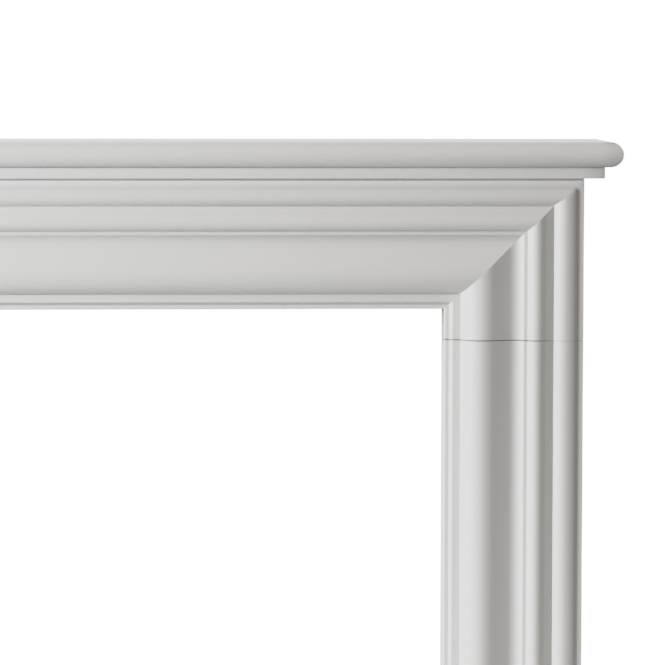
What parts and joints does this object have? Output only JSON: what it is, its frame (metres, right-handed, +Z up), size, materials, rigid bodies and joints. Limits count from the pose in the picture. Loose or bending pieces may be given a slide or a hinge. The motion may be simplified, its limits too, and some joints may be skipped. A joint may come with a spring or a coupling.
{
  "type": "fireplace surround",
  "caption": "Bolection fireplace surround in satin white stone: half-round mantel shelf over one deep mitred moulding that frames a square fire opening.",
  "frame": {"origin": "on the floor, under the middle of the surround's length and of its depth from the wall plane to the shelf's nose", "axes": "+X along the shelf to the right as seen from the front, +Y back into the wall, +Z up"},
  "size_m": [1.3678, 0.178, 1.1333],
  "materials": {
    "moulding_stone": "satin, cast and rubbed smooth",
    "bed_stone": "satin, cast and rubbed smooth",
    "shelf_stone": "satin, a little more polished than the moulding"
  },
  "bodies": {
    "root": {"mantel_shelf": "shelf_stone", "shelf_bed": "bed_stone", "header": "moulding_stone", "left_leg": "moulding_stone", "right_leg": "moulding_stone"}
  },
  "joints": []
}
